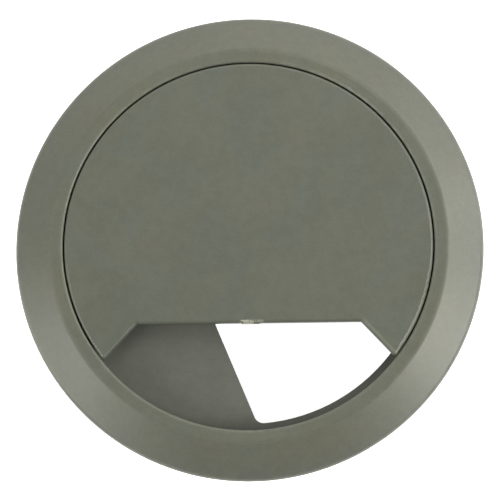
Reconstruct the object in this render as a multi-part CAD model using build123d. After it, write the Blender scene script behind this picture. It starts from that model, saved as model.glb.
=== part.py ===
"""Desk grommet: a liner that drops into a round hole in a desk top, and a lid that turns in it.

The liner is one moulding: a bevelled flange that rests on the desk, a shallow cup that holds the
lid, a sleeve that fills the hole, and a web that closes one segment of the cup's floor. The lid is
the other moulding. It has one wide cut-out for cables. Turning the lid carries the cut-out over
the open floor or over the web, which opens or closes the cable outlet.

Millimetres. +Z is up, square to the desk. The origin is on the axis, where the flange's underside
meets the desk's surface. The lid's cut-out faces -Y at rest.
"""

from build123d import *
from math import cos, radians, sin
import os

# Hole and sleeve
hole_d = 80.0  # hole bored in the desk top
hole_clearance = 0.25  # sleeve to hole, on the radius
sleeve_wall = 1.6
sleeve_depth = 20.0  # below the desk's surface
sleeve_lead_in = 1.0  # chamfer round the sleeve's lower edge

# Crush ribs that centre the sleeve in the hole
crush_rib_count = 12
crush_rib_width = 1.2
crush_rib_height = 0.2
crush_rib_top = 2.0  # below the desk's surface
crush_rib_stop = 3.0  # above the sleeve's lower edge
crush_rib_ramp = 0.8

# Flange
flange_overhang = 5.0  # past the hole's edge
flange_height = 4.15  # desk's surface to the flat top
flange_edge = 0.8  # upright outer edge
flange_edge_round = 1.1
flange_skin = 1.6
flange_root = 0.7  # land on the desk beside the sleeve
lip_width = 2.4  # flat ring between the cup and the bevel
crease_round = 1.8  # softens the line between the flat ring and the bevel
lip_round = 0.45
gusset_count = 24
gusset_width = 1.0

# Cup, which hangs inside the sleeve with a moulding core's width between them
core_width = 1.2
core_skin = 1.55
cup_wall = 1.4
tie_count = 12
tie_width = 1.2
cup_depth = 4.5  # flat top to the ledge that carries the lid
ledge_width = 1.6
ledge_thickness = 2.0

# Web across the cup's floor, level with the ledge
web_chord = 11.75  # axis to the web's straight edge
web_heading = 202.5  # degrees from +X to the middle of the web
web_corner = 1.9
web_rib_width = 1.2
web_rib_height = 1.8
web_rib_pitch = 17.0

# Lid
lid_gap = 0.28  # lid to cup, on the radius
lid_lift = 0.05  # skirt's running clearance above the ledge
lid_plate = 1.4
lid_rim = 1.8  # depth of the rim that edges the plate
lid_rim_width = 1.4
lid_edge_round = 0.6
lid_rib_width = 1.0
lid_rib_depth = 2.4  # flat top to the lower edge of the ribs under the plate
lid_rib_pitch = 15.0
skirt_stop = 4.0  # skirt ends this far short of the cut-out's sides

# Cut-out in the lid
cutout_inset = 15.1  # axis to the straight edge
cutout_half_width = 21.35  # of the straight edge
cutout_flare = 47.0  # degrees that the sides turn away from the straight edge
cutout_corner = 0.4
gate_width = 3.4  # stub left where the moulding's gate was sheared off
gate_height = 1.0
gate_stub = 0.15
gate_offset = 0.4  # from the middle of the straight edge

# Snap that keeps the lid in the cup: beads on the lid's skirt, running in the cup's groove
bead_count = 6
bead_width = 7.0
bead_level = 3.25  # below the flat top
bead_grip = 0.25  # bead past the cup's wall, on the radius
bead_flat = 0.3
bead_ramp = 0.65
groove_clearance = 0.3
groove_slack = 0.4  # above and below the bead's flat

# Ejector pin marks under both mouldings
ejector_r = 2.0
ejector_depth = 0.15

# Worked out from the sizes above
hole_r = hole_d / 2
sleeve_r = hole_r - hole_clearance
sleeve_bore_r = sleeve_r - sleeve_wall
cup_outer_r = sleeve_bore_r - core_width
cup_r = cup_outer_r - cup_wall
ledge_r = cup_r - ledge_width
flange_r = hole_r + flange_overhang
crease_r = cup_r + lip_width
ledge_z = flange_height - cup_depth
floor_z = ledge_z - ledge_thickness
bevel_slope = (flange_height - flange_edge) / (flange_r - crease_r)
lid_r = cup_r - lid_gap
bead_r = cup_r + bead_grip
groove_r = bead_r + groove_clearance
bead_z = flange_height - bead_level
skirt_z = ledge_z + lid_lift

OVER = 1.0  # how far a cutting solid passes the face it opens


def turned(points):
    """Solid swept once round the axis by a closed outline of (radius, height) points."""
    outline = Plane.XZ * make_face(Polyline(*points, close=True))
    return revolve(outline, Axis.Z)


def spoke(heading, width, inner, outer, low, high):
    """Upright bar that runs outwards from the axis at a heading in degrees."""
    bar = Pos((inner + outer) / 2, 0, (low + high) / 2) * Box(outer - inner, width, high - low)
    return Rot(0, 0, heading) * bar


def spokes(count, width, inner, outer, low, high, first=0.0):
    """Evenly spaced spokes."""
    return [spoke(first + 360.0 * i / count, width, inner, outer, low, high) for i in range(count)]


def slab(sketch, low, high):
    """Sketch on the XY plane raised into a plate between two heights."""
    return Pos(0, 0, low) * extrude(sketch, high - low)


def edges_at(solid, z, r_low, r_high):
    """Circular edges at one height whose radius lies between two values."""
    rings = solid.edges().filter_by(GeomType.CIRCLE)
    rings = [e for e in rings if abs(e.center(CenterOf.BOUNDING_BOX).Z - z) < 0.01]
    return [e for e in rings if r_low < e.radius < r_high]


def liner_shell():
    """Flange, cup wall, ledge and sleeve, all turned about the axis."""
    groove_mouth = bead_flat / 2 + groove_slack + groove_clearance
    groove_flat = bead_flat / 2 + groove_slack
    body = turned(
        [
            (cup_r, flange_height),
            (crease_r, flange_height),
            (flange_r, flange_edge),
            (flange_r, 0),
            (sleeve_r, 0),
            (sleeve_r, sleeve_lead_in - sleeve_depth),
            (sleeve_r - sleeve_lead_in, -sleeve_depth),
            (sleeve_bore_r, -sleeve_depth),
            (sleeve_bore_r, floor_z),
            (ledge_r, floor_z),
            (ledge_r, ledge_z),
            (cup_r, ledge_z),
            (cup_r, bead_z - groove_mouth),
            (groove_r, bead_z - groove_flat),
            (groove_r, bead_z + groove_flat),
            (cup_r, bead_z + groove_mouth),
        ]
    )
    body = fillet(edges_at(body, flange_height, crease_r - 0.01, crease_r + 0.01), crease_round)
    body = fillet(edges_at(body, flange_height, cup_r - 0.01, cup_r + 0.01), lip_round)
    return fillet(edges_at(body, flange_edge, flange_r - 0.01, flange_r + 0.01), flange_edge_round)


def flange_pockets():
    """Space cored out under the bevel, left solid at each gusset."""
    root_r = sleeve_r + flange_root
    roof = flange_edge + (flange_r - root_r) * bevel_slope - flange_skin
    ring = turned([(root_r, roof), (root_r + (roof + OVER) / bevel_slope, -OVER), (root_r, -OVER)])
    return ring - spokes(gusset_count, gusset_width, sleeve_r - OVER, flange_r, -OVER, flange_height)


def core_pockets():
    """Space between the cup and the sleeve, left solid at each tie."""
    roof = flange_height - core_skin
    ring = turned(
        [
            (cup_outer_r, roof),
            (sleeve_bore_r, roof),
            (sleeve_bore_r, floor_z - OVER),
            (cup_outer_r, floor_z - OVER),
        ]
    )
    return ring - spokes(tie_count, tie_width, cup_r, sleeve_r, floor_z - 2 * OVER, flange_height)


def crush_ribs():
    """Low ribs on the outside of the sleeve, ramped at both ends."""
    root_r = sleeve_r - sleeve_wall / 2
    crest_r = sleeve_r + crush_rib_height
    top, stop = -crush_rib_top, crush_rib_stop - sleeve_depth
    band = turned(
        [
            (root_r, top),
            (sleeve_r, top),
            (crest_r, top - crush_rib_ramp),
            (crest_r, stop + crush_rib_ramp),
            (sleeve_r, stop),
            (root_r, stop),
        ]
    )
    low, high = stop - OVER, top + OVER
    half_step = 180.0 / crush_rib_count
    bars = spokes(crush_rib_count, crush_rib_width, root_r, crest_r + OVER, low, high, half_step)
    return [band & bar for bar in bars]


def floor_opening():
    """Outline of the floor's open part: the ledge's bore with the web's segment left out."""
    side = 4 * ledge_r
    open_side = Rot(0, 0, web_heading) * Pos(web_chord - side / 2, 0, 0) * Rectangle(side, side)
    opening = Circle(ledge_r) & open_side
    return fillet(opening.vertices(), web_corner)


def web_ribs():
    """Ribs under the web: one along its straight edge and three running out to the ledge."""
    low, high = floor_z - web_rib_height, floor_z
    reach = slab(Circle(ledge_r + ledge_width / 2), low, high)
    edge_x = web_chord + web_rib_width / 2
    bars = [Pos(edge_x, 0, (low + high) / 2) * Box(web_rib_width, 2 * ledge_r, high - low)]
    for place in (-1, 0, 1):
        run = Pos(web_chord + ledge_r / 2, place * web_rib_pitch, (low + high) / 2)
        bars.append(run * Box(ledge_r, web_rib_width, high - low))
    return [reach & (Rot(0, 0, web_heading) * bar) for bar in bars]


def web_ejectors():
    """Shallow round marks under the web, one in each bay between its ribs."""
    middle = (web_chord + ledge_r) / 2
    spots = [(middle, -web_rib_pitch / 2), (middle, web_rib_pitch / 2)]
    low = floor_z - OVER
    pins = [Pos(x, y, low) * extrude(Circle(ejector_r), OVER + ejector_depth) for x, y in spots]
    return [Rot(0, 0, web_heading) * pin for pin in pins]


def make_liner():
    liner = liner_shell() + slab(Circle(ledge_r + ledge_width / 2), floor_z, ledge_z)
    liner += web_ribs()
    liner -= slab(floor_opening(), floor_z - web_rib_height - OVER, ledge_z + OVER)
    liner -= flange_pockets()
    liner -= core_pockets()
    liner -= web_ejectors()
    return liner + crush_ribs()


def cutout():
    """Cable cut-out seen from above. It opens past the lid's -Y side."""
    run = 2 * lid_r
    side_x = cutout_half_width + run * cos(radians(cutout_flare))
    side_y = -cutout_inset - run * sin(radians(cutout_flare))
    return make_face(
        Polyline(
            (-cutout_half_width, -cutout_inset),
            (cutout_half_width, -cutout_inset),
            (side_x, side_y),
            (-side_x, side_y),
            close=True,
        )
    )


def lid_beads():
    """Snap beads on the skirt, spread over the arc that the cut-out leaves."""
    root_r = lid_r - lid_rim_width / 2
    band = turned(
        [
            (root_r, bead_z - bead_flat / 2 - bead_ramp),
            (bead_r, bead_z - bead_flat / 2),
            (bead_r, bead_z + bead_flat / 2),
            (root_r, bead_z + bead_flat / 2 + bead_ramp),
        ]
    )
    beads = []
    for i in range(bead_count):
        heading = 90.0 + 240.0 * (i - (bead_count - 1) / 2) / bead_count
        beads.append(band & spoke(heading, bead_width, root_r, bead_r + OVER, skirt_z, flange_height))
    return beads


def make_lid():
    top, plate_z, rim_z = flange_height, flange_height - lid_plate, flange_height - lid_rim
    outline = Circle(lid_r) - cutout()
    outline = fillet(outline.vertices(), cutout_corner)
    inside = offset(outline, -lid_rim_width)
    skirt = Circle(lid_r) - Circle(lid_r - lid_rim_width) - offset(cutout(), skirt_stop)

    lid = slab(outline, plate_z, top)
    lid += slab(outline - inside, rim_z, plate_z)
    lid += slab(skirt, skirt_z, rim_z)
    lid = fillet(lid.edges().group_by(Axis.Z)[-1], lid_edge_round)

    field = slab(inside, top - lid_rib_depth, plate_z)
    for place in (-1, 0, 1):
        middle = Pos(place * lid_rib_pitch, 0, top - lid_rib_depth)
        lid += field & (middle * Box(lid_rib_width, 2 * lid_r, 2 * lid_rib_depth))
    lid += lid_beads()

    gate = Box(gate_width, 2 * gate_stub, gate_height)
    lid += Pos(gate_offset, -cutout_inset, top - lid_edge_round - gate_height / 2) * gate

    for place in (-1.5, -0.5, 0.5, 1.5):
        pin = Pos(place * lid_rib_pitch, 0, plate_z - OVER)
        lid -= pin * extrude(Circle(ejector_r), OVER + ejector_depth)
    return lid


os.makedirs("parts", exist_ok=True)
export_step(make_liner(), "parts/liner.step")
export_step(make_lid(), "parts/lid.step")
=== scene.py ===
"""Looks of the desk grommet: moulded plastic for the liner and the lid, a light table and soft lights.

Metres. The frame is the CAD model's: +Z up out of the desk, -Y towards the lid's cut-out.
"""

from math import cos, radians, sin

import bpy
from mathutils import Matrix, Vector


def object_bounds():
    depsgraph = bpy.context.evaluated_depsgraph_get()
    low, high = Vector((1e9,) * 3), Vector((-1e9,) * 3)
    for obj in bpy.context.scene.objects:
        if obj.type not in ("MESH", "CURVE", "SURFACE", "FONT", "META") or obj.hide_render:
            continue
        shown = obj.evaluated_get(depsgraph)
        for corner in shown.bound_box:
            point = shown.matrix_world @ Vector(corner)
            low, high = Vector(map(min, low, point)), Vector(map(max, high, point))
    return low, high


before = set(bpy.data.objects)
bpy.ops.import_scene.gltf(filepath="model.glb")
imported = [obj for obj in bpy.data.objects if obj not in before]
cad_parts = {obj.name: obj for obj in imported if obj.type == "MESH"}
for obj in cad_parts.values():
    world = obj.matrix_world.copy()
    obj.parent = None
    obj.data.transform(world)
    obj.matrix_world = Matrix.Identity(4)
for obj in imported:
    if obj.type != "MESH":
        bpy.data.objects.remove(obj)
cad_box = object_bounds()

MM = 0.001


def towards(heading, height):
    """Unit vector at a heading from +X and a height above the desk, both in degrees."""
    heading, height = radians(heading), radians(height)
    return Vector((cos(height) * cos(heading), cos(height) * sin(heading), sin(height)))


# ---------------------------------------------------------------------------------------------- camera

# The camera looks down on the grommet from a little in front of the cut-out and to its right.
CAMERA_DISTANCE = 500 * MM
CAMERA_TILT = 9.52  # degrees from straight above
CAMERA_HEADING = -72.67  # degrees from +X
CAMERA_ROLL = radians(0.37)
CAMERA_TARGET = Vector((0.19, -0.53, 0.0)) * MM
CAMERA_LENS = 187.35
SENSOR = 36.0


def add_camera():
    back = towards(CAMERA_HEADING, 90 - CAMERA_TILT)
    right = Vector((sin(CAMERA_ROLL), cos(CAMERA_ROLL), 0)).cross(back).normalized()
    up = back.cross(right)
    data = bpy.data.cameras.new("camera")
    data.lens = CAMERA_LENS
    data.sensor_width = SENSOR
    data.sensor_fit = "HORIZONTAL"
    data.clip_start = 0.01
    camera = bpy.data.objects.new("camera", data)
    turn = Matrix((right, up, back)).transposed()
    camera.matrix_world = Matrix.Translation(CAMERA_TARGET + back * CAMERA_DISTANCE) @ turn.to_4x4()
    bpy.context.scene.collection.objects.link(camera)
    bpy.context.scene.camera = camera


# ---------------------------------------------------------------------------------------------- studio

# name, heading from +X in degrees, height above the desk in degrees, side of the square in metres,
# distance in metres, watts
LIGHTS = [
    ("key_right", -20, 34, 0.30, 0.6, 2.5),
    ("mid_right", 0, 34, 0.16, 0.6, 0.3),
    ("rear_right", 20, 34, 0.16, 0.6, 0.75),
    ("rear_right_edge", 40, 34, 0.16, 0.6, 0.35),
    ("near_rear_right", 60, 34, 0.15, 0.3, 0.15),
    ("near_back", 90, 20, 0.15, 0.3, 0.13),
    ("high_back", 90, 55, 0.15, 0.3, 0.06),
    ("near_rear_left", 120, 20, 0.15, 0.3, 0.1),
    ("rear_left", 150, 19, 0.30, 0.6, 0.25),
    ("high_left", 180, 55, 0.30, 0.6, 0.35),
    ("low_left", 195, 19, 0.30, 0.6, 1.2),
    ("key_left", 210, 34, 0.30, 0.6, 1.1),
    ("low_front", 240, 10, 0.15, 0.6, 0.2),
    ("low_right", 15, 9, 0.15, 0.6, 0.3),
]
LIGHT_COLOUR = (1.0, 0.985, 0.905)
WORLD_STRENGTH = 0.002

TABLE_HALF = 1.5
TABLE_COLOUR = (0.9, 0.9, 0.9, 1)
TABLE_ROUGHNESS = 0.6
TABLE_GLOW = 1.0


def add_light(name, heading, height, side, distance, watts):
    data = bpy.data.lights.new(name, "AREA")
    data.shape = "SQUARE"
    data.size = side
    data.energy = watts
    data.color = LIGHT_COLOUR
    light = bpy.data.objects.new(name, data)
    direction = towards(heading, height)
    light.location = direction * distance
    light.rotation_euler = direction.to_track_quat("Z", "Y").to_euler()
    bpy.context.scene.collection.objects.link(light)


def add_world():
    world = bpy.data.worlds.new("studio")
    world.use_nodes = True
    background = world.node_tree.nodes["Background"]
    background.inputs["Color"].default_value = (1, 1, 1, 1)
    background.inputs["Strength"].default_value = WORLD_STRENGTH
    bpy.context.scene.world = world


def add_light_table():
    """White glowing table that the sleeve's lower edge stands on."""
    z = cad_box[0][2]
    ends = (-TABLE_HALF, TABLE_HALF)
    corners = [(x, y, z) for x in ends for y in ends]
    mesh = bpy.data.meshes.new("light_table")
    mesh.from_pydata(corners, [], [(0, 2, 3, 1)])
    table = bpy.data.objects.new("light_table", mesh)
    bpy.context.scene.collection.objects.link(table)
    material = bpy.data.materials.new("light_table")
    material.use_nodes = True
    shader = material.node_tree.nodes["Principled BSDF"]
    shader.inputs["Base Color"].default_value = TABLE_COLOUR
    shader.inputs["Roughness"].default_value = TABLE_ROUGHNESS
    shader.inputs["Emission Color"].default_value = (1, 1, 1, 1)
    shader.inputs["Emission Strength"].default_value = TABLE_GLOW
    mesh.materials.append(material)
    table.visible_diffuse = False


# ---------------------------------------------------------------------------------------------- plastic

LINER_COLOUR = (0.1355, 0.1437, 0.118)
LID_COLOUR = (0.1272, 0.1362, 0.1145)
STRESS_COLOUR = (0.46, 0.465, 0.40)  # whitened plastic where the gate was sheared off
CUP_SHADE_TINT = (0.965, 0.965, 1.05)  # painted cooler, slightly darker shade deep in the cup
ROUGHNESS = 0.38

# Size and height of the moulded grain.
LINER_GRAIN = (0.5 * MM, 0.006 * MM)
LID_GRAIN = (0.9 * MM, 0.003 * MM)

# Mottling: size of the spots, and how far they shift the shade or the colour's parts each way.
CLOUD_SIZE, CLOUD_SHADE, CLOUD_GLOSS = 9 * MM, 0.02, 0.02
BLOTCH_SIZE, BLOTCH_SHADE = 1.6 * MM, 0.045
SPECK_SIZE, SPECK_SHADE = 0.35 * MM, 0.05
HUE_SIZE, HUE_SHIFT = 7 * MM, (0.016, 0.0, -0.022)

# How much paler and how much smoother the plastic is on its worn edges, which also carry a painted
# highlight, and in a scuff.
WEAR_AND_HIGHLIGHT_SHADE, WEAR_POLISH = 1.38, 0.06
SCUFF_SHADE, SCUFF_POLISH = 1.07, 0.05
EDGE_WEAR_AND_HIGHLIGHT = 0.53  # of the liner's rounded edges (wear and painted highlight), as a share of the flange's outer corner, whose paleness is a painted reflection

TOP = cad_box[1][2]
LIP_R = 35.55 * MM  # inner edge of the flange's flat ring
FLANGE_R = 45.0 * MM
CORNER = Vector((21.35, -15.1, 0)) * MM  # right end of the cut-out's straight edge
FLARE = radians(47)  # the cut-out's side turns away from the straight edge by this much
GATE = Vector((0.3 * MM, -15.1 * MM, TOP - 0.5 * MM))


class Nodes:
    """Short calls for the node tree of one material."""

    def __init__(self, material):
        self.nodes, self.links = material.node_tree.nodes, material.node_tree.links
        self.shader = self.nodes["Principled BSDF"]
        self.place = self.nodes.new("ShaderNodeTexCoord")

    def feed(self, socket, value):
        if isinstance(value, bpy.types.NodeSocket):
            self.links.new(value, socket)
        else:
            socket.default_value = value

    def noise(self, size, detail, stretch=(1, 1, 1)):
        """Noise from 0 to 1 with features about as wide as size."""
        stretched = self.nodes.new("ShaderNodeMapping")
        stretched.inputs["Scale"].default_value = stretch
        self.feed(stretched.inputs["Vector"], self.place.outputs["Object"])
        noise = self.nodes.new("ShaderNodeTexNoise")
        noise.inputs["Scale"].default_value = 1 / size
        noise.inputs["Detail"].default_value = detail
        self.feed(noise.inputs["Vector"], stretched.outputs["Vector"])
        return noise.outputs["Fac"]

    def span(self, value, low, high, out_low=0.0, out_high=1.0):
        """Smooth step of value from low to high."""
        node = self.nodes.new("ShaderNodeMapRange")
        node.interpolation_type = "SMOOTHSTEP"
        for name, item in (
            ("Value", value),
            ("From Min", low),
            ("From Max", high),
            ("To Min", out_low),
            ("To Max", out_high),
        ):
            self.feed(node.inputs[name], item)
        return node.outputs["Result"]

    def around(self, value, low, high, middle, shift):
        """Smooth step of value from shift below the middle to shift above it."""
        return self.span(value, low, high, middle - shift, middle + shift)

    def maths(self, operation, first, second=0.0):
        node = self.nodes.new("ShaderNodeMath")
        node.operation = operation
        self.feed(node.inputs[0], first)
        self.feed(node.inputs[1], second)
        return node.outputs["Value"]

    def product(self, first, *others):
        for other in others:
            first = self.maths("MULTIPLY", first, other)
        return first

    def axes(self):
        """Object-space x, y and z, and the distance from the grommet's axis."""
        split = self.nodes.new("ShaderNodeSeparateXYZ")
        self.feed(split.inputs["Vector"], self.place.outputs["Object"])
        x, y, z = split.outputs["X"], split.outputs["Y"], split.outputs["Z"]
        squares = self.maths("ADD", self.maths("POWER", x, 2.0), self.maths("POWER", y, 2.0))
        return x, y, z, self.maths("SQRT", squares)

    def upright(self):
        """How far the surface faces up: 1 on a flat top, 0 on a wall."""
        split = self.nodes.new("ShaderNodeSeparateXYZ")
        self.feed(split.inputs["Vector"], self.place.outputs["Normal"])
        return split.outputs["Z"]

    def mixed(self, amount, first, second):
        node = self.nodes.new("ShaderNodeMix")
        node.data_type = "RGBA"
        self.feed(node.inputs["Factor"], amount)
        self.feed(node.inputs["A"], first)
        self.feed(node.inputs["B"], second)
        return node.outputs["Result"]

    def scaled(self, colour, amount):
        node = self.nodes.new("ShaderNodeVectorMath")
        node.operation = "SCALE"
        self.feed(node.inputs[0], colour)
        self.feed(node.inputs["Scale"], amount)
        return node.outputs["Vector"]


def plastic(name, colour, grain, edge_wear_and_highlight, scar=None):
    """Moulded plastic: grain in the surface, faint mottling and scuffs, and edges paler from wear and a
    painted highlight.

    grain is a size and a height. The other two arguments build, from the material's nodes, the mask of
    worn and highlight-painted edges and the gate scar's mask.
    """
    material = bpy.data.materials.new(name)
    material.use_nodes = True
    tree = Nodes(material)
    cloud, blotch, speck = tree.noise(CLOUD_SIZE, 2), tree.noise(BLOTCH_SIZE, 2), tree.noise(SPECK_SIZE, 1)
    scuff = scuffs(tree)
    worn_and_highlit = tree.product(edge_wear_and_highlight(tree), tree.span(tree.noise(3 * MM, 3), 0.25, 0.6, 0.55, 1.0))

    shade = tree.product(
        tree.around(cloud, 0.3, 0.7, 1.0, CLOUD_SHADE),
        tree.around(blotch, 0.25, 0.75, 1.0, BLOTCH_SHADE),
        tree.around(speck, 0.25, 0.75, 1.0, SPECK_SHADE),
        tree.span(scuff, 0.0, 1.0, 1.0, SCUFF_SHADE),
        # paler on worn edges, partly a painted highlight
        tree.span(worn_and_highlit, 0.0, 1.0, 1.0, WEAR_AND_HIGHLIGHT_SHADE),
    )
    skin = tree.scaled(hue(tree, colour), shade)
    if scar:
        skin = tree.mixed(scar(tree), skin, (*STRESS_COLOUR, 1))
    tree.feed(tree.shader.inputs["Base Color"], skin)

    gloss = tree.around(cloud, 0.3, 0.7, ROUGHNESS, CLOUD_GLOSS)
    gloss = tree.maths("SUBTRACT", gloss, tree.span(worn_and_highlit, 0.0, 1.0, 0.0, WEAR_POLISH))
    gloss = tree.maths("SUBTRACT", gloss, tree.span(scuff, 0.0, 1.0, 0.0, SCUFF_POLISH))
    tree.feed(tree.shader.inputs["Roughness"], gloss)

    size, height = grain
    coarse, fine = tree.product(tree.noise(size, 2), height), tree.product(speck, height / 2)
    bump = tree.nodes.new("ShaderNodeBump")
    bump.inputs["Strength"].default_value = 1
    bump.inputs["Distance"].default_value = 1
    tree.feed(bump.inputs["Height"], tree.maths("ADD", coarse, fine))
    tree.feed(tree.shader.inputs["Normal"], bump.outputs["Normal"])
    return material


def hue(tree, colour):
    """The colour, wavering between a warmer and a cooler hue, with a painted cooler shade down in the cup.
    """

    def shifted(side):
        return (*(part * (1 + side * shift) for part, shift in zip(colour, HUE_SHIFT)), 1)

    wavering = tree.mixed(tree.span(tree.noise(HUE_SIZE, 1), 0.3, 0.7), shifted(-1), shifted(1))
    cup_shade = (*(part * tint for part, tint in zip(colour, CUP_SHADE_TINT)), 1)
    # painted cooler shade, growing with depth below the top
    depth = tree.span(tree.axes()[2], TOP - 1.5 * MM, TOP - 4 * MM)
    return tree.mixed(depth, wavering, cup_shade)


def scuffs(tree):
    """A few fine scratches along x, in patches."""
    streak = tree.noise(4 * MM, 1, stretch=(1, 26, 1))
    patch = tree.noise(13 * MM, 1)
    return tree.product(tree.span(streak, 0.68, 0.74), tree.span(patch, 0.5, 0.62))


def liner_wear_and_highlight(tree):
    """The cup's lip and the flange's outer edge, paler from wear and a painted highlight, most at the
    edge's corner, which carries a painted reflection.
    """
    _, _, z, radius = tree.axes()
    lip = tree.product(
        tree.span(radius, LIP_R + 0.95 * MM, LIP_R + 0.25 * MM),
        tree.span(z, TOP - 0.7 * MM, TOP - 0.3 * MM),
    )
    rim = tree.span(radius, FLANGE_R - 1.3 * MM, FLANGE_R - 0.2 * MM)
    # painted reflection on the flange's outer corner
    corner = tree.span(radius, FLANGE_R - 0.6 * MM, FLANGE_R - 0.15 * MM)
    edges = tree.product(tree.maths("MAXIMUM", lip, rim), EDGE_WEAR_AND_HIGHLIGHT)
    return tree.maths("ADD", edges, tree.product(corner, 1 - EDGE_WEAR_AND_HIGHLIGHT))


def lid_wear_and_highlight(tree):
    """The rounded edge all along the lid's outline, paler from wear and a painted highlight, and a painted
    highlight strip along the cut-out's flared right side.
    """
    x, y, z, radius = tree.axes()
    edge = tree.product(
        tree.span(tree.upright(), 0.995, 0.9),
        tree.span(z, TOP - 0.7 * MM, TOP - 0.4 * MM),
        tree.span(radius, LIP_R - 1.5 * MM, LIP_R - 0.9 * MM, 0.1, 0.37),
    )
    across = tree.product(tree.maths("SUBTRACT", x, CORNER.x), sin(FLARE))
    along = tree.product(tree.maths("SUBTRACT", y, CORNER.y), cos(FLARE))
    inwards = tree.maths("ADD", across, along)  # distance from the flared side
    # painted highlight strip just inside the flared side
    strip = tree.product(
        tree.span(inwards, 0.25 * MM, 0.5 * MM),
        tree.span(inwards, 1.0 * MM, 0.75 * MM),
        tree.span(x, CORNER.x, CORNER.x + 1.2 * MM),
    )
    return tree.maths("MAXIMUM", edge, strip)


def gate_scar(tree):
    """Torn patch on the cut-out's straight edge, with a thinner tail along its rounded top."""
    x, y, z, _ = tree.axes()
    ragged = tree.span(tree.noise(0.8 * MM, 3), 0.3, 0.7, -0.45 * MM, 0.45 * MM)

    def near(value, middle, half):
        away = tree.maths("ABSOLUTE", tree.maths("SUBTRACT", value, middle))
        return tree.span(tree.maths("ADD", away, ragged), half + 0.15 * MM, half - 0.15 * MM)

    body = tree.product(near(x, GATE.x - 0.5 * MM, 1.25 * MM), near(z, GATE.z - 0.2 * MM, 0.75 * MM))
    tail = tree.product(near(x, GATE.x + 0.4 * MM, 2.1 * MM), near(z, TOP - 0.2 * MM, 0.3 * MM))
    torn = tree.maths("MAXIMUM", body, tree.product(tail, 0.45))
    off_edge = tree.maths("ABSOLUTE", tree.maths("SUBTRACT", y, GATE.y))
    return tree.product(torn, tree.span(off_edge, 0.65 * MM, 0.35 * MM))


def dress(node, material):
    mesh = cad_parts[node].data
    mesh.materials.clear()
    mesh.materials.append(material)


add_camera()
add_world()
add_light_table()
for light in LIGHTS:
    add_light(*light)

bpy.context.scene.view_settings.view_transform = "Standard"

dress("liner", plastic("liner_plastic", LINER_COLOUR, LINER_GRAIN, liner_wear_and_highlight))
dress("lid", plastic("lid_plastic", LID_COLOUR, LID_GRAIN, lid_wear_and_highlight, gate_scar))
